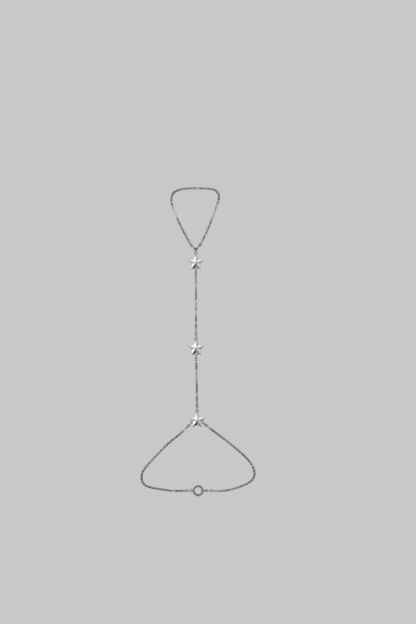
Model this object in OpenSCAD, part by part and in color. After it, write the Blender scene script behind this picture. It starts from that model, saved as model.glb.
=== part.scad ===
// Hand chain bracelet: a wrist loop and a finger loop of fine cable chain, joined down the back of
// the hand by a chain that carries three faceted stars.
// Millimetres. The origin is the middle of the wrist, +Z points to the fingertips, +X to the thumb
// side, and -Y comes out of the back of the hand.

/* [Chain] */
// Wire of a chain link
link_wire = 0.26; // [0.2:0.01:0.34]
// Distance from link to link along the chain
link_pitch = 1.27; // [1.1:0.01:1.6]
// Gap along the chain between the wires of two linked pieces
link_play = 0.13; // [0.1:0.01:0.16]
// Gap at each side of a ring's wire inside a link
side_play = 0.11; // [0.1:0.01:0.16]
// How far the chain rolls about its own run, away from a ring that holds it, in degrees
chain_roll = 45; // [0:1:50]
// Links at each end of a run over which the chain takes this roll
roll_links = 7; // [6:1:12]
// Share of the skin's sideways slope that the chain's roll follows round the wrist and the finger
slope_share = 0.3; // [0.25:0.05:1]

/* [Stars] */
// Middle of a star to the end of a tip
star_r = 3.66; // [3.2:0.02:4.4]
// Middle of a star to the bottom of a notch
star_waist = 1.84; // [1.6:0.02:2.1]
// Thickness of a star's rim
star_rim = 0.5; // [0.4:0.05:0.9]
// Rise of the ridges from the rim to the middle
star_rise = 1.2; // [0.6:0.05:1.8]
// Radius that rounds a tip
tip_round = 0.16; // [0.1:0.02:0.24]
// Radius that rounds a notch
notch_round = 0.12; // [0.06:0.02:0.2]

/* [Rings] */
// Wire of the soldered rings and the jump rings
ring_wire = 0.36; // [0.3:0.01:0.4]
// Hole of a soldered ring
ring_bore = 0.94; // [0.9:0.02:1.2]
// Depth that a soldered ring is set into the metal it joins
ring_set = 0.22; // [0.16:0.01:0.3]
// Wire of the jump ring at the finger loop
jump_wire = 0.3; // [0.28:0.01:0.36]
// Extra gap of the two end links that share the jump ring's curved wire
jump_slack = 0.05; // [0:0.01:0.1]

/* [Wrist loop] */
// Breadth of the wrist inside the loop
wrist_w = 50.2; // [44:0.2:60]
// Thickness of the wrist inside the loop
wrist_t = 35.6; // [32:0.2:44]
// Height of the middle of the chain above the skin
lift = 0.75; // [0.7:0.05:1.2]
// Drop of the clasp below the middle of the wrist
clasp_drop = 7; // [3:0.5:12]

/* [Back of the hand] */
// Height of the lower star
star_lower_z = 26.3; // [20:0.1:34]
// Height of the middle star
star_middle_z = 59; // [50:0.1:68]
// Height of the upper star
star_upper_z = 97.8; // [86:0.1:110]
// Sideways place of the lower star
star_lower_x = -0.36; // [-2:0.02:2]
// Sideways place of the middle star
star_middle_x = -0.86; // [-2:0.02:2]
// Sideways place of the upper star
star_upper_x = -0.96; // [-2:0.02:2]
// How far the middle star stands out from the middle of the wrist
star_middle_out = 20; // [18:0.1:24]
// How far the upper star stands out from the middle of the wrist
star_upper_out = 20.5; // [18:0.1:24]

/* [Finger loop] */
// Breadth of the finger inside the loop
finger_w = 20.2; // [17:0.2:24]
// Depth of the loop, from the back of the hand to the palm side of the finger
finger_deep = 23.5; // [20:0.5:28]
// Rise from the jump ring to the widest place of the loop
finger_rise = 24.1; // [20:0.5:30]
// Sideways place of the finger
finger_x = -1.3; // [-3:0.1:3]

/* [Clasp] */
// Outer diameter of the clasp's hoop
clasp_d = 5; // [4.6:0.1:7]
// Tube of the clasp's hoop
clasp_tube = 0.9; // [0.8:0.05:1.1]
// Length of the clasp's thumb stud
stud_len = 0.7; // [0.4:0.05:1]
// Diameter of the thumb stud
stud_d = 0.54; // [0.4:0.02:0.7]

/* [Hidden] */
$fn = 32;

// Left half of the finger loop. Across and deep are shares of half the loop's breadth and of its
// depth, up is a share of the rise.
// across, deep, up
FINGER_LEFT = [
    [-0.17, 0.00, 0.12],
    [-0.41, 0.03, 0.31],
    [-0.665, 0.11, 0.54],
    [-0.835, 0.21, 0.72],
    [-0.95, 0.33, 0.86],
    [-1.00, 0.47, 0.98],
    [-0.97, 0.62, 1.07],
    [-0.85, 0.77, 1.14],
    [-0.60, 0.90, 1.19],
    [-0.31, 0.975, 1.21],
    [0.00, 1.00, 1.215],
];
// Right half of the finger loop, in the same shares
// across, deep, up
FINGER_RIGHT = [
    [0.22, 0.00, 0.13],
    [0.40, 0.02, 0.29],
    [0.56, 0.07, 0.45],
    [0.70, 0.14, 0.61],
    [0.85, 0.25, 0.80],
    [0.95, 0.36, 0.92],
    [1.00, 0.49, 1.03],
    [0.96, 0.64, 1.11],
    [0.84, 0.78, 1.17],
    [0.60, 0.90, 1.20],
    [0.30, 0.975, 1.21],
];
// Wrist loop. Round is the angle from the back of the wrist, fall is the share of the way down from
// the lower star to the clasp.
// round, fall
WRIST_LEFT = [
    [19, 0.19],
    [30, 0.30],
    [43, 0.44],
    [60, 0.595],
    [76, 0.705],
    [90, 0.80],
    [104, 0.885],
    [120, 0.94],
    [138, 0.975],
    [153, 1.00],
];
// round, fall
WRIST_RIGHT = [
    [18.5, 0.17],
    [29, 0.27],
    [43, 0.395],
    [62, 0.545],
    [76, 0.65],
    [90, 0.745],
    [104, 0.825],
    [120, 0.895],
    [138, 0.96],
    [153, 1.00],
];

// Steps of the smooth curve between two points of a route
curve_steps = 12;
// Angle of a star's side rings below level, a little under its notches
side_ring_angle = 20;
// Number of tips on a star
star_tips = 5;
// Half of the angle between two tips
notch_angle = 180 / star_tips;
// Straight steps round a tip and round a notch
tip_steps = 4;
notch_steps = 2;
// Steps of a millimetre that the straight sides of a link are made to
link_steps = 10000;

link_bore = max(ring_wire, link_wire) + 2 * side_play;
link_w = link_bore + 2 * link_wire;
ring_d = ring_bore + 2 * ring_wire;
// How far along a ring's hole a link's own gap begins
ring_reach = ring_bore / 2 - link_play / 2;
top_ring_out = star_r + ring_d / 2 - ring_set;
notch_ring_out = star_waist + ring_d / 2 - ring_set;

// The jump ring holds a soldered ring's wire below and two end links side by side above
jump_bore = ring_wire + link_wire + 4 * link_play;
jump_mean = (jump_bore + jump_wire) / 2;
end_link_shift = (link_wire + link_play + jump_slack) / 2;
jump_z = star_upper_z + top_ring_out + ring_bore / 2 - link_play + jump_bore / 2;
jump_top = sqrt(pow(jump_mean, 2) - pow(end_link_shift, 2));

wrist_a = wrist_w / 2 + lift;
wrist_b = wrist_t / 2 + lift;
finger_a = finger_w / 2 + lift;

star_lower_at = [star_lower_x, -wrist_b, star_lower_z];
star_middle_at = [star_middle_x, -star_middle_out, star_middle_z];
star_upper_at = [star_upper_x, -star_upper_out, star_upper_z];
jump_at = [star_upper_x, -star_upper_out, jump_z];
finger_mid_y = -star_upper_out + finger_deep / 2;

clasp_mean = (clasp_d - clasp_tube) / 2;
clasp_at = [0, wrist_b, -clasp_drop];
eye_out = clasp_d / 2 + ring_d / 2 - ring_set;
clasp_ring_bore = clasp_tube + link_wire + 4 * link_play;
clasp_ring_mean = (clasp_ring_bore + ring_wire) / 2;
clasp_ring_out = clasp_mean - clasp_tube / 2 - link_play + clasp_ring_bore / 2;

function unit(v) = v / norm(v);

// Direction a given angle round to the right from straight up
function from_top(turn) = [sin(turn), cos(turn)];

function reversed(list) = [for (i = [len(list) - 1:-1:0]) list[i]];

// Point a given way along the line from one place towards another
function towards(from, to, reach) = from + reach * unit(to - from);

// Smooth curve through four points, at share t of the stretch between b and c
function between(a, b, c, d, t) =
    (2 * b + (c - a) * t + (2 * a - 5 * b + 4 * c - d) * t * t + (3 * b - a - 3 * c + d) * t * t * t) / 2;

function curve(p) = [
    for (i = [0:len(p) - 2], k = [0:curve_steps - 1])
        between(p[max(i - 1, 0)], p[i], p[i + 1], p[min(i + 2, len(p) - 1)], k / curve_steps),
    p[len(p) - 1],
];

// Length of the curve from its start to each of its points
function lengths(c, i = 0, so_far = [0]) =
    i == len(c) - 1 ? so_far : lengths(c, i + 1, concat(so_far, so_far[i] + norm(c[i + 1] - c[i])));

// Joints of a chain: evenly spaced places along a path, one more than it has links. The number of
// links is the nearest one to the pitch that is odd, or even where even is true.
function joints(c, even = false) =
    let (
        s = lengths(c),
        whole = s[len(s) - 1],
        count = even ? 2 * round(whole / link_pitch / 2) : 2 * round((whole / link_pitch - 1) / 2) + 1,
        tables = [for (axis = [0:2]) [for (i = [0:len(c) - 1]) [s[i], c[i][axis]]]]
    )
    [for (i = [0:count]) [for (axis = [0:2]) lookup(whole * i / count, tables[axis])]];

// Direction that the roll is measured from, at a place on the wrist, on the back of the hand and on
// the finger. It leans less to the side than the skin does, so that the chain turns late.
function out_of_wrist(p) = unit([slope_share * p.x / pow(wrist_a, 2), p.y / pow(wrist_b, 2), 0]);
function out_of_hand(p) = [0, -1, 0];
function out_of_finger(p) = unit([
    slope_share * (p.x - finger_x) / pow(finger_a, 2),
    (p.y - finger_mid_y) / pow(finger_deep / 2, 2),
    0,
]);

// Places on the routes
function on_wrist(row, side) =
    let (z = star_lower_z - row[1] * (star_lower_z + clasp_drop))
    [side * wrist_a * sin(row[0]), -wrist_b * cos(row[0]), z];
function on_finger(row) =
    [finger_x + row[0] * finger_a, -star_upper_out + row[1] * finger_deep, jump_z + row[2] * finger_rise];
function side_ring_at(side) =
    star_lower_at + notch_ring_out * [side * cos(side_ring_angle), 0, -sin(side_ring_angle)];

// First two points of a run that leaves a standing ring: from the given reach along the line towards
// a place, one link on, and still in the ring's own plane, so that its wire stays in the link's middle
function first_link(from, to, reach) =
    let (level = [to.x, from.y, to.z])
    [towards(from, level, reach), towards(from, level, reach + link_pitch)];

// A wrist run starts in the star's side ring and ends at the clasp
function wrist_route(table, side, end_x) =
    let (
        points = [for (row = table) on_wrist(row, side)],
        end = clasp_at + [end_x, 0, 0]
    )
    curve(concat(
        first_link(side_ring_at(side), points[0], ring_reach),
        points,
        [end + [side * link_pitch, 0, 0], end]
    ));

// An end link of the finger loop hangs round the wire at the top of the jump ring
function finger_end(table, side) = first_link(
    jump_at + [0, side * end_link_shift, jump_top],
    on_finger(table[0]),
    -(jump_wire + link_play) / 2 - jump_slack
);
function finger_route() = curve(concat(
    finger_end(FINGER_LEFT, -1),
    [for (row = FINGER_LEFT) on_finger(row)],
    [for (row = reversed(FINGER_RIGHT)) on_finger(row)],
    reversed(finger_end(FINGER_RIGHT, 1))
));

// A run on the back of the hand goes from one star's notch ring to the next star's top ring
function hand_route(from, to) =
    let (start = from - [0, 0, notch_ring_out], end = to + [0, 0, top_ring_out])
    concat(first_link(start, end, ring_reach), reversed(first_link(end, start, ring_reach)));

// One link, flat in the XY plane and long in X
module link(pitch) {
    mean_r = (link_w - link_wire) / 2;
    half_side = round((pitch + link_play + 2 * link_wire - link_w) / 2 * link_steps) / link_steps;
    for (end = [-1, 1])
        translate([end * half_side, 0, 0])
            rotate([0, 0, -90 * end])
                rotate_extrude(angle = 180)
                    translate([mean_r, 0])
                        circle(d = link_wire);
    for (side = [-1, 1])
        translate([-half_side, side * mean_r, 0])
            rotate([0, 90, 0])
                cylinder(h = 2 * half_side, d = link_wire);
}

// Links of a chain, each lying from one joint to the next. Every second link is turned a quarter
// round, and the whole chain rolls smoothly to one side near each end.
module chain(spots, out, first_turn, from = 0, to = undef) {
    count = len(spots) - 1;
    for (i = [from:(is_undef(to) ? count : to) - 1]) {
        middle = (spots[i] + spots[i + 1]) / 2;
        along = unit(spots[i + 1] - spots[i]);
        across = unit(cross(out(middle), along));
        up = cross(along, across);
        rolled = min(1, i / roll_links, (count - 1 - i) / roll_links);
        roll = first_turn + 90 * i + chain_roll * (1 - cos(180 * rolled)) / 2;
        multmatrix([
            [along.x, across.x, up.x, middle.x],
            [along.y, across.y, up.y, middle.y],
            [along.z, across.z, up.z, middle.z],
            [0, 0, 0, 1],
        ])
            rotate([roll, 0, 0])
                link(norm(spots[1] - spots[0]));
    }
}

// A ring of round wire, flat in the XY plane
module wire_ring(mean_r, wire) {
    rotate_extrude()
        translate([mean_r, 0])
            circle(d = wire);
}

// A soldered ring, standing in the plane of the stars
module soldered_ring() {
    rotate([90, 0, 0])
        wire_ring((ring_bore + ring_wire) / 2, ring_wire);
}

// Points of a round corner: an arc whose middle points along the turn angle, from the given centre
function corner(centre, r, turn, half, steps) =
    [for (i = [0:steps]) centre + r * from_top(turn + half * (2 * i / steps - 1))];

// Outline of a star with one tip up, and round tips and notches, going round to the right
function star_outline() =
    let (
        half_tip = atan2(star_waist * sin(notch_angle), star_r - star_waist * cos(notch_angle)),
        tip_mid = star_r - tip_round,
        half_notch = half_tip + notch_angle,
        notch_mid = star_waist + notch_round / sin(half_notch)
    )
    [for (i = [0:star_tips - 1], tip = [true, false])
        let (turn = notch_angle * (2 * i + (tip ? 0 : 1)))
        each tip
            ? corner(tip_mid * from_top(turn), tip_round, turn, 90 - half_tip, tip_steps)
            : corner(notch_mid * from_top(turn), -notch_round, turn, half_notch - 90, notch_steps)];

// A star with a flat back, a plain rim and ridges that rise to its middle. Its front faces -Y.
module star() {
    outline = star_outline();
    count = len(outline);
    levels = [-star_rim / 2, star_rim / 2];
    points = [
        for (z = levels, p = outline) [p.x, p.y, z],
        [0, 0, star_rim / 2 + star_rise],
    ];
    faces = [
        [for (i = [count - 1:-1:0]) i],
        for (i = [0:count - 1]) [i, (i + 1) % count, (i + 1) % count + count, i + count],
        for (i = [0:count - 1]) [i + count, (i + 1) % count + count, 2 * count],
    ];
    rotate([90, 0, 0])
        polyhedron(points, faces);
}

// A star at its place with a ring soldered to its top tip
module hung_star(at) {
    translate(at) {
        star();
        translate([0, 0, top_ring_out])
            soldered_ring();
    }
}

module star_upper() {
    color("silver") {
        hung_star(star_upper_at);
        translate(star_upper_at - [0, 0, notch_ring_out])
            soldered_ring();
    }
}

module star_middle() {
    color("silver") {
        hung_star(star_middle_at);
        translate(star_middle_at - [0, 0, notch_ring_out])
            soldered_ring();
    }
}

module star_lower() {
    color("silver") {
        hung_star(star_lower_at);
        for (side = [-1, 1])
            translate(side_ring_at(side))
                soldered_ring();
    }
}

module finger_jump_ring() {
    color("silver")
        translate(jump_at)
            rotate([0, 90, 0])
                wire_ring(jump_mean, jump_wire);
}

// The finger loop is one run of links from the jump ring round the finger and back to it
module finger_chain(half) {
    spots = joints(finger_route());
    count = len(spots) - 1;
    middle = floor(count / 2);
    color("lightgray")
        chain(
            spots, function(p) out_of_finger(p), first_turn = 0,
            from = half == 0 ? 0 : middle, to = half == 0 ? middle : count
        );
}

module finger_chain_left() {
    finger_chain(0);
}

module finger_chain_right() {
    finger_chain(1);
}

module hand_chain_upper() {
    spots = joints(hand_route(star_upper_at, star_middle_at));
    color("lightgray")
        chain(spots, function(p) out_of_hand(p), first_turn = 90);
}

module hand_chain_lower() {
    spots = joints(hand_route(star_middle_at, star_lower_at));
    color("lightgray")
        chain(spots, function(p) out_of_hand(p), first_turn = 90);
}

module wrist_chain_left() {
    spots = joints(wrist_route(WRIST_LEFT, -1, -eye_out - ring_reach));
    color("lightgray")
        chain(spots, function(p) out_of_wrist(p), first_turn = 90);
}

module wrist_chain_right() {
    end_x = clasp_ring_out + clasp_ring_bore / 2 - link_play / 2;
    spots = joints(wrist_route(WRIST_RIGHT, 1, end_x), even = true);
    color("lightgray")
        chain(spots, function(p) out_of_wrist(p), first_turn = 90);
}

// A closed spring ring: its hoop, its eye on the left and the stud of its bolt below
module clasp() {
    color("silver")
        translate(clasp_at) {
            rotate([90, 0, 0])
                wire_ring(clasp_mean, clasp_tube);
            translate([-eye_out, 0, 0])
                soldered_ring();
            translate([0, 0, -clasp_mean])
                rotate([180, 0, 0])
                    cylinder(h = clasp_tube / 2 + stud_len, d = stud_d);
        }
}

module clasp_ring() {
    color("silver")
        translate(clasp_at + [clasp_ring_out, 0, 0])
            wire_ring(clasp_ring_mean, ring_wire);
}

star_upper();
star_middle();
star_lower();
finger_jump_ring();
finger_chain_left();
finger_chain_right();
hand_chain_upper();
hand_chain_lower();
wrist_chain_left();
wrist_chain_right();
clasp();
clasp_ring();
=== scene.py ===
"""Looks of the hand chain bracelet: polished silver stars, wire links, rings and clasp.

Lengths are in metres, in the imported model's own frame: +Z points to the fingertips, +X to the thumb side,
and -Y comes out of the back of the hand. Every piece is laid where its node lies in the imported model.
"""

import logging
import math
import random
from collections.abc import Iterable, Iterator
from dataclasses import dataclass, field
from enum import Enum

import bmesh
import bpy
import numpy as np
from mathutils import Matrix, Vector


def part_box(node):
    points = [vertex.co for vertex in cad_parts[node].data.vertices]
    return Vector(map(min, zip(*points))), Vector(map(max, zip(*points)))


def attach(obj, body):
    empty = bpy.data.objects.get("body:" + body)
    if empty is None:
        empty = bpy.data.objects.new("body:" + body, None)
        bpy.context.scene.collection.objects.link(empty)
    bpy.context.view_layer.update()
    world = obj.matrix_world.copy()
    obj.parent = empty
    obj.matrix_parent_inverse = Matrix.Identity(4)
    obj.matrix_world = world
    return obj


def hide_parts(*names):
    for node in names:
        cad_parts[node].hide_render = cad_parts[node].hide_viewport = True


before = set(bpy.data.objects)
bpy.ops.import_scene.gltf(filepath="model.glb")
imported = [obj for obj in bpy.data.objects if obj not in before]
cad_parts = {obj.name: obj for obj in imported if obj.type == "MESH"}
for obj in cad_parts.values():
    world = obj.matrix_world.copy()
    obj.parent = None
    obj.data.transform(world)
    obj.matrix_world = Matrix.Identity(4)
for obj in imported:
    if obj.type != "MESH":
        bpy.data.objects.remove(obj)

MM = 0.001
BODY = "root"
TURN = 2 * math.pi
QUARTER = math.pi / 2
# Stands up what lies flat, so that its top faces the front
STANDING = Matrix.Rotation(QUARTER, 4, "X")
# Points closer than this are one point, and heights closer than this are one level
SAME_POINT = 0.0004 * MM
SAME_LEVEL = 0.01 * MM
# How strongly large faces set the shading at their edges, from 1 to 100
FLATS_WEIGHT = 100

Colour = tuple[float, float, float]
Value = float | bpy.types.NodeSocket
Settings = dict[str | int, object]

log = logging.getLogger("hand_chain")


class Slot(Enum):
    """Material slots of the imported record."""

    STAR = "star_silver"
    CHAIN = "chain_silver"
    RING = "ring_silver"


class Notches(Enum):
    """Which notches of a star carry soldered rings, each given by its turn in degrees from straight up."""

    BOTTOM = (180.0,)
    SIDES = (-110.0, 110.0)


class NodeTree:
    """A cleared node tree of a material or the world, with short calls that add and join its nodes."""

    NOISE_DETAIL = 3.0
    NOISE_ROUGHNESS = 0.55
    NOISE_BOUNDS = (0.3, 0.7)
    # Sockets of a blend, by number because several have the same name
    BLEND_SHARE = 0
    BLEND_COLOURS = (6, 7)
    BLEND_RESULT = 2

    def __init__(self, tree: bpy.types.NodeTree) -> None:
        """Clears the tree.

        Args:
            tree: The tree to fill.
        """
        self.tree = tree
        tree.nodes.clear()

    def add(self, kind: str, values: Settings | None = None, **settings: object) -> bpy.types.Node:
        """Adds a node.

        Args:
            kind: The node's type name.
            values: Values of its input sockets, by name or index.
            **settings: Values of its own properties.

        Returns:
            The new node.
        """
        node = self.tree.nodes.new(kind)
        for key, value in settings.items():
            setattr(node, key, value)
        for key, value in (values or {}).items():
            node.inputs[key].default_value = value
        return node

    def join(self, source: bpy.types.NodeSocket, node: bpy.types.Node, socket: str | int) -> None:
        """Links a socket to another node's input."""
        self.tree.links.new(source, node.inputs[socket])

    def noise(
        self, place: bpy.types.NodeSocket, size: float, detail: float = NOISE_DETAIL
    ) -> bpy.types.NodeSocket:
        """Adds noise whose patches have a given size.

        Args:
            place: Coordinates to read.
            size: Size of a patch in metres.
            detail: Octaves of finer noise.

        Returns:
            The noise's value socket.
        """
        node = self.add(
            "ShaderNodeTexNoise", {"Scale": 1 / size, "Detail": detail, "Roughness": self.NOISE_ROUGHNESS}
        )
        self.join(place, node, "Vector")
        return node.outputs["Fac"]

    def spread(
        self,
        source: bpy.types.NodeSocket,
        low: float,
        high: float,
        bounds: tuple[float, float] = NOISE_BOUNDS,
    ) -> bpy.types.NodeSocket:
        """Maps a value smoothly from its own bounds to new ones.

        Args:
            source: The value to map.
            low: What the lower bound becomes.
            high: What the upper bound becomes.
            bounds: The source's lower and upper bound, which for noise need not be given.

        Returns:
            The mapped value's socket.
        """
        node = self.add(
            "ShaderNodeMapRange",
            {"From Min": bounds[0], "From Max": bounds[1], "To Min": low, "To Max": high},
            interpolation_type="SMOOTHSTEP",
        )
        self.join(source, node, "Value")
        return node.outputs["Result"]

    def math(self, operation: str, first: Value, second: Value) -> bpy.types.NodeSocket:
        """Adds a sum, product or the like of two values.

        Args:
            operation: The node's operation.
            first: A number or a value socket.
            second: A number or a value socket.

        Returns:
            The result's socket.
        """
        node = self.add("ShaderNodeMath", operation=operation)
        for index, value in enumerate((first, second)):
            if isinstance(value, bpy.types.NodeSocket):
                self.join(value, node, index)
            else:
                node.inputs[index].default_value = value
        return node.outputs[0]

    def sum(self, first: Value, second: Value) -> bpy.types.NodeSocket:
        """Adds two values."""
        return self.math("ADD", first, second)

    def product(self, first: Value, second: Value) -> bpy.types.NodeSocket:
        """Multiplies two values."""
        return self.math("MULTIPLY", first, second)

    def blend(
        self,
        share: bpy.types.NodeSocket,
        first: Colour | bpy.types.NodeSocket,
        second: Colour | bpy.types.NodeSocket,
    ) -> bpy.types.NodeSocket:
        """Blends two colours.

        Args:
            share: Socket that is 0 for the first colour and 1 for the second.
            first: A colour or a colour socket.
            second: A colour or a colour socket.

        Returns:
            The blended colour's socket.
        """
        node = self.add("ShaderNodeMix", data_type="RGBA")
        self.join(share, node, self.BLEND_SHARE)
        for index, colour in zip(self.BLEND_COLOURS, (first, second)):
            if isinstance(colour, bpy.types.NodeSocket):
                self.join(colour, node, index)
            else:
                node.inputs[index].default_value = (*colour, 1)
        return node.outputs[self.BLEND_RESULT]


@dataclass(frozen=True)
class Silver:
    """A polished silver finish: clear metal with patches of faint tarnish and fine polishing marks,
    darkened further by each face's tone, which on the star's rim and inside the links is painted shade.

    Attributes:
        MARK_TURN: How the polishing marks are turned about X, Y and Z, in radians.
        name: Name of its material.
        clear: Colour of the clear metal.
        tarnish: Colour of the metal at its dullest, which is also the colour of painted shade.
        smooth: Roughness between the polishing marks.
        rubbed: Roughness on them.
        patch: Size of a patch of tarnish.
        patch_share: How dull a patch is at most.
        mark: Width of a polishing mark.
        mark_stretch: How many times longer than wide a mark is.
        mark_detail: Octaves of finer noise in the marks.
        mark_depth: How deep the marks are.
    """

    MARK_TURN = (0.5, 0.6, 0.4)
    name: str
    clear: Colour = (0.90, 0.90, 0.91)
    tarnish: Colour = (0.42, 0.43, 0.45)
    smooth: float = 0.10
    rubbed: float = 0.22
    patch: float = 1.6 * MM
    patch_share: float = 0.4
    mark: float = 0.05 * MM
    mark_stretch: float = 7.0
    mark_detail: float = 2.0
    mark_depth: float = 0.0004 * MM

    def material(self) -> bpy.types.Material:
        """Makes the finish's material.

        Returns:
            The material.
        """
        material = bpy.data.materials.new(self.name)
        material.use_nodes = True
        tree = NodeTree(material.node_tree)
        place = tree.add("ShaderNodeTexCoord").outputs["Object"]
        patches = tree.noise(place, self.patch)
        turned = tree.add(
            "ShaderNodeMapping", {"Rotation": self.MARK_TURN, "Scale": (1, 1, 1 / self.mark_stretch)}
        )
        tree.join(place, turned, "Vector")
        marks = tree.noise(turned.outputs["Vector"], self.mark, self.mark_detail)
        tone = tree.add("ShaderNodeAttribute", attribute_name=Tone.ATTRIBUTE).outputs["Fac"]
        # Tarnish patches plus each face's tone; the tone is painted shade on the star's rim and inside the
        # links.
        tarnish_and_shade = tree.sum(tree.spread(patches, 0.0, self.patch_share), tone)
        shader = tree.add("ShaderNodeBsdfPrincipled", {"Metallic": 1.0})
        tree.join(tree.blend(tarnish_and_shade, self.clear, self.tarnish), shader, "Base Color")
        tree.join(tree.spread(marks, self.smooth, self.rubbed), shader, "Roughness")
        bump = tree.add("ShaderNodeBump", {"Strength": 1.0, "Distance": self.mark_depth})
        tree.join(marks, bump, "Height")
        tree.join(bump.outputs["Normal"], shader, "Normal")
        output = tree.add("ShaderNodeOutputMaterial")
        tree.join(shader.outputs["BSDF"], output, "Surface")
        return material


@dataclass(frozen=True)
class Tone:
    """How dull single links are. A tone of 0 is clear metal and 1 full tarnish, kept on each face; the same
    face value also carries painted shade on the star's rim and inside the links.

    Attributes:
        low: Tone of the clearest link.
        high: Tone of the dullest.
    """

    ATTRIBUTE = "tone"
    low: float
    high: float

    def draw(self, chance: random.Random) -> float:
        """Draws one link's tone."""
        return chance.uniform(self.low, self.high)


def ring_edges(bm: bmesh.types.BMesh, radius: float, sides: int, place: Matrix) -> list[bmesh.types.BMEdge]:
    """Adds the round section of a wire.

    Args:
        bm: Mesh to add to.
        radius: Radius of the wire.
        sides: Sides of the section.
        place: Where the section lies. Its own normal is Z.

    Returns:
        The section's edges.
    """
    made = bmesh.ops.create_circle(bm, segments=sides, radius=radius, matrix=place)
    return list({edge for vert in made["verts"] for edge in vert.link_edges})


def round_edges(
    bm: bmesh.types.BMesh,
    edges: list[bmesh.types.BMEdge],
    reach: float,
    steps: int,
    clamp: bool = False,
) -> None:
    """Rounds edges with a bevel.

    Args:
        bm: Mesh that holds the edges.
        edges: The edges.
        reach: How far the round goes on each side of an edge.
        steps: Steps of the round.
        clamp: Whether rounds stop where they would run into each other.
    """
    bmesh.ops.bevel(
        bm, geom=edges, offset=reach, segments=steps, profile=0.5, affect="EDGES", material=-1,
        clamp_overlap=clamp,
    )


def sweep(
    bm: bmesh.types.BMesh, edges: list[bmesh.types.BMEdge], centre: Vector, angle: float, steps: int
) -> list[bmesh.types.BMEdge]:
    """Spins a section round Z.

    Args:
        bm: Mesh that holds the section.
        edges: The section's edges.
        centre: Point on the axis.
        angle: Angle of the spin. A full turn closes the shape.
        steps: Steps of the spin.

    Returns:
        The edges of the last section.
    """
    verts = list({vert for edge in edges for vert in edge.verts})
    whole = math.isclose(angle, TURN)
    made = bmesh.ops.spin(
        bm, geom=verts + edges, cent=centre, axis=(0, 0, 1), angle=angle, steps=steps, use_merge=whole
    )
    return [item for item in made["geom_last"] if isinstance(item, bmesh.types.BMEdge)]


def finished(
    bm: bmesh.types.BMesh,
    name: str,
    place: Matrix | None = None,
    tone: float = 0.0,
    flats: Iterable[bmesh.types.BMFace] = (),
) -> bpy.types.Mesh:
    """Turns a bmesh into a smooth mesh whose faces point outwards.

    Args:
        bm: The bmesh, which is freed.
        name: The mesh's name.
        place: Where the shape goes, if it was built elsewhere.
        tone: How dull it is, if its faces don't say so yet.
        flats: Faces that are shaded flat.

    Returns:
        The mesh.
    """
    if place is not None:
        bmesh.ops.transform(bm, matrix=place, verts=bm.verts)
    bmesh.ops.recalc_face_normals(bm, faces=bm.faces)
    if Tone.ATTRIBUTE not in bm.faces.layers.float:
        tones = bm.faces.layers.float.new(Tone.ATTRIBUTE)
        for face in bm.faces:
            face[tones] = tone
    kept_flat = set(flats)
    for face in bm.faces:
        face.smooth = face not in kept_flat
    mesh = bpy.data.meshes.new(name)
    bm.to_mesh(mesh)
    bm.free()
    return mesh


def shown(name: str, mesh: bpy.types.Mesh) -> bpy.types.Object:
    """Puts a mesh in the scene as an object at the origin.

    Args:
        name: The object's name.
        mesh: Its mesh.

    Returns:
        The object.
    """
    piece = bpy.data.objects.new(name, mesh)
    bpy.context.scene.collection.objects.link(piece)
    return piece


def evaluated_mesh(piece: bpy.types.Object) -> bpy.types.Mesh:
    """Copies a piece's mesh with its modifiers applied."""
    graph = bpy.context.evaluated_depsgraph_get()
    return bpy.data.meshes.new_from_object(piece.evaluated_get(graph))


def soldered(name: str, shells: Iterable[bpy.types.Mesh]) -> bpy.types.Object:
    """Joins closed shells that overlap into one.

    Args:
        name: Name of the piece.
        shells: Meshes of the shells, the main one first.

    Returns:
        The joined piece, with its flats kept flat in the shading.
    """
    first, *others = shells
    piece = shown(name, first)
    for shell in others:
        tool = shown(name + "_joint", shell)
        union = piece.modifiers.new("solder", "BOOLEAN")
        union.operation = "UNION"
        union.solver = "EXACT"
        union.object = tool
        mesh = evaluated_mesh(piece)
        piece.modifiers.clear()
        piece.data = mesh
        bpy.data.objects.remove(tool)
    piece.data.shade_smooth()
    normals = piece.modifiers.new("flats", "WEIGHTED_NORMAL")
    normals.mode = "FACE_AREA"
    normals.weight = FLATS_WEIGHT
    return piece


def dress(piece: bpy.types.Object, material: bpy.types.Material, slot: Slot, node: str) -> None:
    """Gives a piece its finish and lets it stand for its node.

    Args:
        piece: The piece.
        material: Its material.
        slot: The record's slot that the finish belongs to. It is not used.
        node: The node that it replaces.
    """
    piece.data.materials.clear()
    piece.data.materials.append(material)
    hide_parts(node)
    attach(piece, BODY)
    triangles = sum(len(polygon.vertices) - 2 for polygon in piece.data.polygons)
    log.info("%s: %d triangles", piece.name, triangles)


@dataclass(frozen=True)
class WireRing:
    """A closed ring of round wire.

    Attributes:
        bore: Inner diameter.
        wire: Diameter of the wire.
        steps: Steps round the ring.
        sides: Sides of the wire's section.
        tone: How dull it is.
    """

    bore: float = 0.94 * MM
    wire: float = 0.36 * MM
    steps: int = 32
    sides: int = 12
    tone: float = 0.85

    @property
    def outer(self) -> float:
        """Outer diameter."""
        return self.bore + 2 * self.wire

    def mesh(self, place: Matrix) -> bpy.types.Mesh:
        """Makes the ring, whose axis is Z before it is placed.

        Args:
            place: Where the ring lies.

        Returns:
            The ring's mesh.
        """
        bm = bmesh.new()
        start = Matrix.Translation(((self.bore + self.wire) / 2, 0, 0)) @ STANDING
        sweep(bm, ring_edges(bm, self.wire / 2, self.sides, start), Vector(), TURN, self.steps)
        return finished(bm, "wire_ring", place, self.tone)

    @classmethod
    def like(cls, node: str) -> tuple["WireRing", Matrix]:
        """Reads a ring's sizes and place from its node.

        Args:
            node: A node that is one plain ring, square to the frame.

        Returns:
            The ring and its place.
        """
        low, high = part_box(node)
        size = high - low
        axis = min(range(3), key=lambda index: size[index])
        wire = size[axis]
        turn = Vector((0, 0, 1)).rotation_difference(Vector([float(index == axis) for index in range(3)]))
        place = Matrix.Translation((low + high) / 2) @ turn.to_matrix().to_4x4()
        return cls(bore=max(size) - 2 * wire, wire=wire), place


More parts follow.
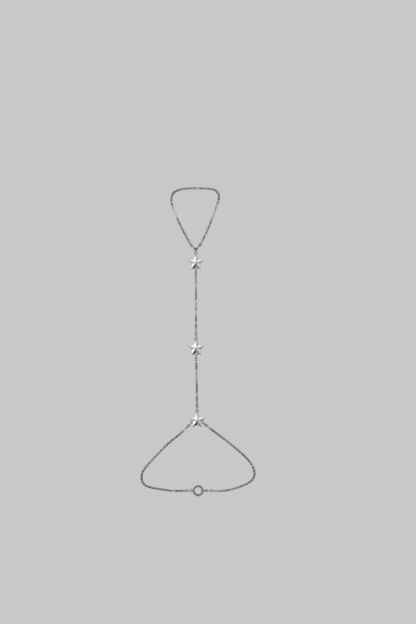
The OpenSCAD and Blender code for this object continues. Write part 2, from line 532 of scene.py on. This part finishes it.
@dataclass
class StarCharm:
    """A faceted star with rings soldered to its top tip and in its notches.

    Attributes:
        node: The node that it stands for.
        notches: The notches that carry a ring.
        radius: From the middle to the end of a tip.
        waist: From the middle to a notch, before the outline is made fuller.
        rim: Height of the upright rim.
        rise: How far the middle rises above the rim.
        tip_round: Radius of a tip.
        tip_steps: Steps round a tip.
        edge_round: How far an edge is softened on each side.
        edge_steps: Steps of a softened edge.
        rim_shade_tone: How dark the rim is drawn: a little tarnish, and mostly painted shade that outlines
            the star.
        rim_slope: A face belongs to the rim if it faces the front or back less than this, as a cosine.
        ring_set: How deep a ring is set into the star.
        tips: Number of tips.
        ring: The ring that is soldered on.
    """

    node: str
    notches: Notches
    radius: float = 3.66 * MM
    waist: float = 1.84 * MM
    rim: float = 0.5 * MM
    rise: float = 1.2 * MM
    tip_round: float = 0.20 * MM
    tip_steps: int = 4
    edge_round: float = 0.14 * MM
    edge_steps: int = 2
    rim_shade_tone: float = 1.0
    rim_slope: float = 0.7
    ring_set: float = 0.22 * MM
    tips: int = 5
    ring: WireRing = field(default_factory=WireRing)

    @property
    def middle(self) -> Vector:
        """Finds the star's middle at half its rim from the node's box.

        Returns:
            The middle.
        """
        low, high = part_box(self.node)
        top = self.ring_out(self.radius) + self.ring.outer / 2
        return Vector(((low.x + high.x) / 2, high.y - self.rim / 2, high.z - top))

    @property
    def half_tip(self) -> float:
        """Half the angle of a tip."""
        turn = math.pi / self.tips
        return math.atan2(self.waist * math.sin(turn), self.radius - self.waist * math.cos(turn))

    @property
    def fuller(self) -> float:
        """How much larger the sharp outline is, so that its rounded tips still reach the star's radius."""
        return 1 + self.tip_round * (1 / math.sin(self.half_tip) - 1) / self.radius

    def ring_out(self, reach: float) -> float:
        """How far out a ring's middle lies that is set into metal reaching this far."""
        return reach + self.ring.outer / 2 - self.ring_set

    def body(self) -> bpy.types.Mesh:
        """Makes the star: an upright rim with round tips, and flat facets that rise to the middle.

        Returns:
            The star's mesh at its place.
        """
        bm = bmesh.new()
        circle = bmesh.ops.create_circle(bm, cap_ends=True, segments=2 * self.tips, radius=self.radius)
        outline = circle["verts"]
        for vert in outline[1::2]:
            vert.co *= self.waist / self.radius
        bmesh.ops.scale(bm, vec=(self.fuller, self.fuller, 1), verts=outline)
        raised = bmesh.ops.extrude_face_region(bm, geom=list(bm.faces))["geom"]
        lift = [item for item in raised if isinstance(item, bmesh.types.BMVert)]
        bmesh.ops.translate(bm, vec=(0, 0, self.rim), verts=lift)
        front = max(bm.faces, key=lambda face: face.calc_center_median().z)
        peak = bmesh.ops.poke(bm, faces=[front])["verts"]
        bmesh.ops.translate(bm, vec=(0, 0, self.rise), verts=peak)
        self.round_tips(bm)
        self.soften_edges(bm)
        self.shade_rim(bm)
        bmesh.ops.translate(bm, vec=(0, 0, -self.rim / 2), verts=bm.verts)
        return finished(bm, "star", Matrix.Translation(self.middle) @ STANDING)

    def round_tips(self, bm: bmesh.types.BMesh) -> None:
        """Rounds the upright edges at the tips.

        Args:
            bm: The sharp star, which stands on its back.
        """
        between = self.fuller * (self.radius + self.waist) / 2
        uprights = [edge for edge in bm.edges if all(vert.co.xy.length > between for vert in edge.verts)]
        round_edges(bm, uprights, self.tip_round / math.tan(self.half_tip), self.tip_steps)

    def soften_edges(self, bm: bmesh.types.BMesh) -> None:
        """Takes the sharp corner off the ridges, the valleys and the rim's front and back.

        Args:
            bm: The star, which stands on its back.
        """
        peak = max(bm.verts, key=lambda vert: vert.co.z)
        rims = [edge for edge in bm.edges if self.lies_at(edge, 0.0) or self.lies_at(edge, self.rim)]
        round_edges(bm, list(peak.link_edges) + rims, self.edge_round, self.edge_steps, clamp=True)

    @staticmethod
    def lies_at(edge: bmesh.types.BMEdge, level: float) -> bool:
        """Tells if an edge lies flat at a height."""
        return all(abs(vert.co.z - level) < SAME_LEVEL for vert in edge.verts)

    def shade_rim(self, bm: bmesh.types.BMesh) -> None:
        """Darkens the steep faces of the rim and its edges: a little tarnish where polishing reaches least,
        drawn darker as painted shade that outlines the star.

        Args:
            bm: The star, which stands on its back.
        """
        bmesh.ops.recalc_face_normals(bm, faces=bm.faces)
        tones = bm.faces.layers.float.new(Tone.ATTRIBUTE)
        for face in bm.faces:
            # Painted shade on the rim, over a little tarnish, outlines the star.
            face[tones] = self.rim_shade_tone if abs(face.normal.z) < self.rim_slope else 0.0

    def rings(self) -> Iterator[bpy.types.Mesh]:
        """Makes the soldered rings.

        Yields:
            Each ring's mesh.
        """
        spots = [(self.ring_out(self.radius), 0.0)]
        spots += [(self.ring_out(self.waist), turn) for turn in self.notches.value]
        for out, turn in spots:
            angle = math.radians(turn)
            spot = self.middle + out * Vector((math.sin(angle), 0, math.cos(angle)))
            yield self.ring.mesh(Matrix.Translation(spot) @ STANDING)

    def build(self, finish: bpy.types.Material) -> bpy.types.Object:
        """Builds the charm and lets it stand for its node.

        Args:
            finish: The stars' material.

        Returns:
            The charm.
        """
        piece = soldered(self.node + "_charm", [self.body(), *self.rings()])
        dress(piece, finish, Slot.STAR, self.node)
        return piece


@dataclass
class CableChain:
    """A run of interlocked oval links with filed flats, laid on the links of its node.

    Attributes:
        node: The node that it stands for.
        wire: Width of the wire, seen from a link's front.
        thick: Thickness of the wire between its filed flats.
        filed_share: Width of a flat as a share of the wire's.
        wide: Width of a link over its wire.
        turn_steps: Steps round each end of a link.
        sides: Sides of the wire's section.
        sway: How far a link may roll about its own length, each way.
        tone: How dull the links are.
        hollow_shade_tone: How dark the inner side of a link is drawn: painted shade where the links meet,
            darker than tarnish there would be.
    """

    node: str
    wire: float = 0.39 * MM
    thick: float = 0.37 * MM
    filed_share: float = 0.7
    wide: float = 1.18 * MM
    turn_steps: int = 5
    sides: int = 6
    sway: float = math.radians(11)
    tone: Tone = Tone(0.0, 0.35)
    hollow_shade_tone: float = 1.0

    @property
    def bend(self) -> float:
        """Radius of a link's round ends along the middle of its wire."""
        return (self.wide - self.wire) / 2

    @property
    def flat_from(self) -> float:
        """Height above a link's middle plane from which a point lies on a filed flat."""
        return self.wire / 4

    def straight(self, length: float) -> float:
        """How far the straight sides of a link reach from its middle."""
        return length / 2 - self.bend

    def link_frames(self) -> list[tuple[Matrix, float]]:
        """Finds each link of the node.

        Returns:
            For each link its place, with X along it and Z out of its plane, and the length of the oval
            that its wire's middle follows.
        """
        bm = bmesh.new()
        bm.from_mesh(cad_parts[self.node].data)
        bmesh.ops.remove_doubles(bm, verts=bm.verts, dist=SAME_POINT)
        seen = set()
        frames = []
        for seed in bm.verts:
            if seed not in seen:
                link = self.whole(seed)
                seen.update(link)
                frames.append(self.seat(np.array([vert.co for vert in link])))
        bm.free()
        return frames

    @staticmethod
    def seat(points: np.ndarray) -> tuple[Matrix, float]:
        """Finds the place of one link from its points.

        Args:
            points: Points on the link's surface, a row each.

        Returns:
            The link's place and the length of the oval that its wire's middle follows.
        """
        middle = (points.min(axis=0) + points.max(axis=0)) / 2
        normal, _, along = np.linalg.eigh(np.cov((points - middle).T))[1].T
        across = np.cross(normal, along)
        length = np.ptp(points @ along) - np.ptp(points @ normal)
        turn = Matrix(np.column_stack([along, across, normal]).tolist()).to_4x4()
        return Matrix.Translation(middle.tolist()) @ turn, float(length)

    def section(self, bm: bmesh.types.BMesh, place: Matrix) -> list[bmesh.types.BMEdge]:
        """Adds the section of a link's wire, which is filed flat on the link's front and back.

        Args:
            bm: Mesh to add to.
            place: Where the section lies. Its own X goes through the link's thickness.

        Returns:
            The section's edges.
        """
        edges = ring_edges(bm, self.wire / 2, self.sides, Matrix())
        verts = list({vert for edge in edges for vert in edge.verts})
        corners = [vert for vert in verts if abs(vert.co.x) > self.flat_from]
        half_side = math.pi / self.sides
        spread = (self.thick / (self.wire * math.cos(half_side)), self.filed_share / math.sin(half_side), 1)
        bmesh.ops.scale(bm, vec=spread, verts=corners)
        bmesh.ops.transform(bm, matrix=place, verts=verts)
        return edges

    def add_link(self, bm: bmesh.types.BMesh, length: float) -> list[bmesh.types.BMVert]:
        """Adds one oval link at the origin, with X along it and Z out of its plane.

        Args:
            bm: Mesh to add to.
            length: Length of the oval that the wire's middle follows.

        Returns:
            The link's points.
        """
        straight = self.straight(length)
        start = Matrix.Translation((straight, -self.bend, 0)) @ Matrix.Rotation(QUARTER, 4, "Y")
        first = self.section(bm, start)
        turned = sweep(bm, first, Vector((straight, 0, 0)), math.pi, self.turn_steps)
        run = bmesh.ops.extrude_edge_only(bm, edges=turned)["geom"]
        moved = [item for item in run if isinstance(item, bmesh.types.BMVert)]
        bmesh.ops.translate(bm, vec=(-2 * straight, 0, 0), verts=moved)
        second = [item for item in run if isinstance(item, bmesh.types.BMEdge)]
        second = [edge for edge in second if all(vert in moved for vert in edge.verts)]
        last = sweep(bm, second, Vector((-straight, 0, 0)), math.pi, self.turn_steps)
        bmesh.ops.bridge_loops(bm, edges=first + last)
        return self.whole(first[0].verts[0])

    def is_hollow(self, face: bmesh.types.BMFace, length: float) -> bool:
        """Tells if a face of a link at the origin lies on the inner side of its wire.

        Args:
            face: The face.
            length: Length of the oval that the wire's middle follows.

        Returns:
            Whether it does. The filed flats don't count.
        """
        straight = self.straight(length)
        middle = face.calc_center_median()
        across = math.hypot(middle.x - max(-straight, min(straight, middle.x)), middle.y)
        return across < self.bend and not self.is_filed(face)

    def is_filed(self, face: bmesh.types.BMFace) -> bool:
        """Tells if a face of a link at the origin belongs to the flats filed on its front and back."""
        return all(abs(vert.co.z) > self.flat_from for vert in face.verts)

    @staticmethod
    def whole(seed: bmesh.types.BMVert) -> list[bmesh.types.BMVert]:
        """Lists the points of the loose shape that a point belongs to.

        Args:
            seed: The point.

        Returns:
            The shape's points, the given one first.
        """
        found = {seed}
        points = [seed]
        for vert in points:
            for edge in vert.link_edges:
                other = edge.other_vert(vert)
                if other not in found:
                    found.add(other)
                    points.append(other)
        return points

    def build(self, finish: bpy.types.Material) -> bpy.types.Object:
        """Builds the run and lets it stand for its node.

        Args:
            finish: The chain's material.

        Returns:
            The run of links.
        """
        chance = random.Random(self.node)
        bm = bmesh.new()
        tones = bm.faces.layers.float.new(Tone.ATTRIBUTE)
        filed = []
        for place, length in self.link_frames():
            roll = Matrix.Rotation(chance.uniform(-self.sway, self.sway), 4, "X")
            tone = self.tone.draw(chance)
            verts = self.add_link(bm, length)
            faces = {face for vert in verts for face in vert.link_faces}
            for face in faces:
                # The inner side of each link gets painted shade, the rest gets the link's own tone.
                face[tones] = self.hollow_shade_tone if self.is_hollow(face, length) else tone
            filed += [face for face in faces if self.is_filed(face)]
            bmesh.ops.transform(bm, matrix=place @ roll, verts=verts)
        piece = shown(self.node + "_links", finished(bm, "links", flats=filed))
        dress(piece, finish, Slot.CHAIN, self.node)
        return piece


@dataclass
class PlainRing:
    """A jump ring that is laid on its own node.

    Attributes:
        node: The node that it stands for.
    """

    node: str

    def build(self, finish: bpy.types.Material) -> bpy.types.Object:
        """Builds the ring and lets it stand for its node.

        Args:
            finish: The rings' material.

        Returns:
            The ring.
        """
        ring, place = WireRing.like(self.node)
        piece = shown(self.node + "_wire", ring.mesh(place))
        dress(piece, finish, Slot.RING, self.node)
        return piece


@dataclass
class SpringRingClasp:
    """A closed spring ring: a hoop with the stud of its bolt below and an eye soldered on at its left.

    Attributes:
        node: The node that it stands for.
        hoop: Outer diameter of the hoop.
        tube: Diameter of the hoop's tube.
        hoop_steps: Steps round the hoop.
        tube_sides: Sides of the tube's section.
        stud_length: How far the stud stands out of the tube.
        stud_share: Diameter of the stud as a share of the tube's.
        stud_sides: Sides of the stud.
        edge_round: How far the edge of the stud's end is rounded.
        edge_steps: Steps of that round.
        ring_set: How deep the eye is set into the hoop.
        eye: The eye.
    """

    node: str = "clasp"
    hoop: float = 5.0 * MM
    tube: float = 0.9 * MM
    hoop_steps: int = 48
    tube_sides: int = 16
    stud_length: float = 0.7 * MM
    stud_share: float = 0.6
    stud_sides: int = 20
    edge_round: float = 0.08 * MM
    edge_steps: int = 3
    ring_set: float = 0.22 * MM
    eye: WireRing = field(default_factory=WireRing)

    @property
    def middle(self) -> Vector:
        """Middle of the hoop, read from the node's box."""
        low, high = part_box(self.node)
        return Vector((high.x - self.hoop / 2, (low.y + high.y) / 2, high.z - self.hoop / 2))

    def stud(self) -> bpy.types.Mesh:
        """Makes the bolt's stud with a round end.

        Returns:
            The stud's mesh.
        """
        radius = self.tube * self.stud_share / 2
        length = self.tube / 2 + self.stud_length
        bm = bmesh.new()
        bmesh.ops.create_cone(
            bm, cap_ends=True, segments=self.stud_sides, radius1=radius, radius2=radius, depth=length
        )
        low_rim = [edge for edge in bm.edges if all(vert.co.z < 0 for vert in edge.verts)]
        round_edges(bm, low_rim, self.edge_round, self.edge_steps)
        drop = (self.hoop - self.tube) / 2 + length / 2
        return finished(bm, "stud", Matrix.Translation(self.middle - Vector((0, 0, drop))))

    def build(self, finish: bpy.types.Material) -> bpy.types.Object:
        """Builds the clasp and lets it stand for its node.

        Args:
            finish: The rings' material.

        Returns:
            The clasp.
        """
        bore = self.hoop - 2 * self.tube
        hoop = WireRing(bore=bore, wire=self.tube, steps=self.hoop_steps, sides=self.tube_sides)
        out = (self.hoop + self.eye.outer) / 2 - self.ring_set
        hoop_place = Matrix.Translation(self.middle) @ STANDING
        eye_place = Matrix.Translation(self.middle - Vector((out, 0, 0))) @ STANDING
        shells = [hoop.mesh(hoop_place), self.eye.mesh(eye_place), self.stud()]
        piece = soldered(self.node + "_spring_ring", shells)
        dress(piece, finish, Slot.RING, self.node)
        return piece


@dataclass(frozen=True)
class PhotoView:
    """The photograph's view: a long lens that looks straight at the bracelet's front.

    Attributes:
        high: Height of the picture in pixels.
        pixel: Size of a pixel at the bracelet.
        middle_x: X of the picture's middle.
        middle_z: Z of the picture's middle.
        focus_y: Y at which the size of a pixel is true.
        distance: From the camera to that depth.
        nearest: How near to itself the camera sees.
        farthest: How far it sees.
        sensor: The camera's sensor along the picture's longer side, in millimetres.
    """

    high: int = 624
    pixel: float = 0.455 * MM
    middle_x: float = 4.55 * MM
    middle_z: float = 75.5 * MM
    focus_y: float = -12 * MM
    distance: float = 2.0
    nearest: float = 0.02
    farthest: float = 20.0
    sensor: float = 36.0

    def camera(self) -> bpy.types.Object:
        """Makes the scene's camera.

        Returns:
            The camera.
        """
        lens = bpy.data.cameras.new("photo_view")
        lens.sensor_width = self.sensor
        lens.lens = self.sensor * self.distance / (self.high * self.pixel)
        lens.clip_start = self.nearest
        lens.clip_end = self.farthest
        camera = bpy.data.objects.new("photo_view", lens)
        bpy.context.scene.collection.objects.link(camera)
        camera.location = (self.middle_x, self.focus_y - self.distance, self.middle_z)
        camera.rotation_euler = (QUARTER, 0, 0)
        bpy.context.scene.camera = camera
        return camera


@dataclass(frozen=True)
class Glow:
    """A soft round patch of the studio that is lighter or darker, seen from the bracelet.

    Attributes:
        towards: Direction of its middle.
        inner: Cosine of the angle up to which it is full.
        outer: Cosine of the angle where it ends.
        light: Light that a glow adds, or the share of light that a shade takes.
    """

    towards: Vector
    inner: float
    outer: float
    light: float


@dataclass(frozen=True)
class Studio:
    """A pale backdrop and floor, a soft main light, and an evenly lit room with glows and shades.

    Attributes:
        backdrop: Colour of the backdrop. Only the camera sees it.
        paint: Colour of the floor.
        room: The room's even light.
        glows: Patches of more light: above, left, right, in front and behind.
        shades: Patches of less light: below right, below left, behind and in front.
        floor_z: Height of the floor.
        floor_radius: Radius of the floor.
        floor_sides: Sides of the floor's rim.
        floor_fade: Shares of the radius between which the floor fades into the backdrop.
        sun_from: Where the main light comes from.
        sun_strength: Strength of the main light.
        sun_width: Angle that the main light fills. A wide one has soft shadows.
    """

    backdrop: Colour = (0.58, 0.58, 0.58)
    paint: Colour = (0.69, 0.69, 0.69)
    room: float = 0.57
    glows: tuple[Glow, ...] = (
        Glow(Vector((0.00, -0.30, 0.95)), 0.97, 0.82, 0.50),
        Glow(Vector((-0.91, -0.30, 0.29)), 0.97, 0.82, 0.68),
        Glow(Vector((0.95, -0.30, 0.00)), 0.985, 0.92, 0.20),
        Glow(Vector((-0.45, -0.84, 0.30)), 0.96, 0.84, 0.26),
        Glow(Vector((0.00, 1.00, 0.00)), 0.94, 0.62, 0.28),
    )
    shades: tuple[Glow, ...] = (
        Glow(Vector((0.46, -0.30, -0.85)), 0.985, 0.94, 0.92),
        Glow(Vector((-0.25, -0.30, -0.92)), 0.96, 0.86, 0.45),
        Glow(Vector((0.00, 1.00, 0.00)), 0.30, -0.08, 0.70),
        Glow(Vector((0.00, -1.00, 0.00)), 0.96, 0.55, 0.75),
    )
    floor_z: float = -90 * MM
    floor_radius: float = 320 * MM
    floor_sides: int = 96
    floor_fade: tuple[float, float] = (0.3, 0.98)
    sun_from: Vector = Vector((-0.5, -0.55, 0.9))
    sun_strength: float = 1.4
    sun_width: float = math.radians(18)

    def world(self) -> None:
        """Fills the world with the room's light, its shades and its glows, and hangs the backdrop."""
        world = bpy.data.worlds.new("studio")
        world.use_nodes = True
        bpy.context.scene.world = world
        tree = NodeTree(world.node_tree)
        place = tree.add("ShaderNodeTexCoord").outputs["Generated"]
        light = self.room
        for shade in self.shades:
            light = tree.product(light, self.patch(tree, place, shade, 1.0, 1.0 - shade.light))
        for glow in self.glows:
            light = tree.sum(light, self.patch(tree, place, glow, 0.0, glow.light))
        seen = tree.add("ShaderNodeLightPath").outputs["Is Camera Ray"]
        background = tree.add("ShaderNodeBackground", {"Strength": 1.0})
        tree.join(tree.blend(seen, light, self.backdrop), background, "Color")
        output = tree.add("ShaderNodeOutputWorld")
        tree.join(background.outputs[0], output, "Surface")

    @staticmethod
    def patch(
        tree: NodeTree, place: bpy.types.NodeSocket, glow: Glow, outside: float, inside: float
    ) -> bpy.types.NodeSocket:
        """Adds a soft round patch of the sky.

        Args:
            tree: The world's tree.
            place: Direction socket.
            glow: The patch's direction and how wide it is.
            outside: Its value outside the patch.
            inside: Its value in the middle.

        Returns:
            Socket of the patch's value.
        """
        dot = tree.add("ShaderNodeVectorMath", {1: glow.towards.normalized()}, operation="DOT_PRODUCT")
        tree.join(place, dot, 0)
        return tree.spread(dot.outputs["Value"], outside, inside, (glow.outer, glow.inner))

    def sun(self) -> None:
        """Adds the soft main light."""
        lamp = bpy.data.lights.new("window", "SUN")
        lamp.energy = self.sun_strength
        lamp.angle = self.sun_width
        holder = bpy.data.objects.new("window", lamp)
        bpy.context.scene.collection.objects.link(holder)
        holder.rotation_euler = self.sun_from.to_track_quat("Z", "Y").to_euler()
        holder.visible_glossy = False

    def floor(self) -> None:
        """Adds the floor, a pale disc that fades into the backdrop at its rim."""
        bm = bmesh.new()
        place = Matrix.Translation((0, 0, self.floor_z))
        bmesh.ops.create_circle(
            bm, cap_ends=True, segments=self.floor_sides, radius=self.floor_radius, matrix=place
        )
        piece = shown("floor", finished(bm, "floor"))
        piece.visible_glossy = False
        material = bpy.data.materials.new("pale_floor")
        material.use_nodes = True
        tree = NodeTree(material.node_tree)
        centred = tree.add("ShaderNodeMapping", {"Location": (0, 0, -self.floor_z)})
        tree.join(tree.add("ShaderNodeTexCoord").outputs["Object"], centred, "Vector")
        reach = tree.add("ShaderNodeVectorMath", operation="LENGTH")
        tree.join(centred.outputs["Vector"], reach, 0)
        start, end = (share * self.floor_radius for share in self.floor_fade)
        fade = tree.spread(reach.outputs["Value"], 0.0, 1.0, (start, end))
        paint = tree.add("ShaderNodeBsdfDiffuse", {"Color": (*self.paint, 1)})
        clear = tree.add("ShaderNodeBsdfTransparent")
        mixed = tree.add("ShaderNodeMixShader")
        tree.join(fade, mixed, 0)
        tree.join(paint.outputs[0], mixed, 1)
        tree.join(clear.outputs[0], mixed, 2)
        output = tree.add("ShaderNodeOutputMaterial")
        tree.join(mixed.outputs[0], output, "Surface")
        piece.data.materials.append(material)

    def build(self) -> None:
        """Builds the floor, the world and the main light."""
        self.floor()
        self.world()
        self.sun()
        bpy.context.scene.view_settings.view_transform = "Standard"


@dataclass
class HandChain:
    """The whole bracelet: three charms, six runs of chain, two jump rings and the clasp.

    Attributes:
        charms: The stars, from the fingers down to the wrist.
        runs: The runs of chain: the finger loop, the two between the stars, and the wrist loop.
        jump_rings: The ring at the finger loop and the one at the clasp.
        clasp: The clasp of the wrist loop.
        star_finish: Finish of the stars and the rings soldered to them.
        chain_finish: Finish of the chain.
        ring_finish: Finish of the jump rings and the clasp.
    """

    charms: tuple[StarCharm, ...] = (
        StarCharm("star_upper", Notches.BOTTOM),
        StarCharm("star_middle", Notches.BOTTOM),
        StarCharm("star_lower", Notches.SIDES),
    )
    runs: tuple[CableChain, ...] = (
        CableChain("finger_chain_left"),
        CableChain("finger_chain_right"),
        CableChain("hand_chain_upper"),
        CableChain("hand_chain_lower"),
        CableChain("wrist_chain_left"),
        CableChain("wrist_chain_right"),
    )
    jump_rings: tuple[PlainRing, ...] = (PlainRing("finger_jump_ring"), PlainRing("clasp_ring"))
    clasp: SpringRingClasp = field(default_factory=SpringRingClasp)
    star_finish: Silver = Silver("bright_star_silver", smooth=0.12, rubbed=0.24, patch=2.2 * MM)
    chain_finish: Silver = Silver(
        "chain_wire_silver", clear=(0.88, 0.88, 0.89), tarnish=(0.24, 0.25, 0.27), smooth=0.14, rubbed=0.28
    )
    ring_finish: Silver = Silver("ring_wire_silver")

    def build(self) -> list[bpy.types.Object]:
        """Builds every piece in order.

        Returns:
            The pieces.
        """
        star = self.star_finish.material()
        chain = self.chain_finish.material()
        ring = self.ring_finish.material()
        pieces = [charm.build(star) for charm in self.charms]
        pieces += [run.build(chain) for run in self.runs]
        pieces += [jump_ring.build(ring) for jump_ring in self.jump_rings]
        pieces.append(self.clasp.build(ring))
        return pieces


def main() -> None:
    """Builds the view, the bracelet and the studio."""
    logging.basicConfig(level=logging.INFO, format="%(name)s: %(message)s")
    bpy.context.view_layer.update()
    PhotoView().camera()
    pieces = HandChain().build()
    log.info("%d pieces", len(pieces))
    Studio().build()


if __name__ == "__main__":
    main()
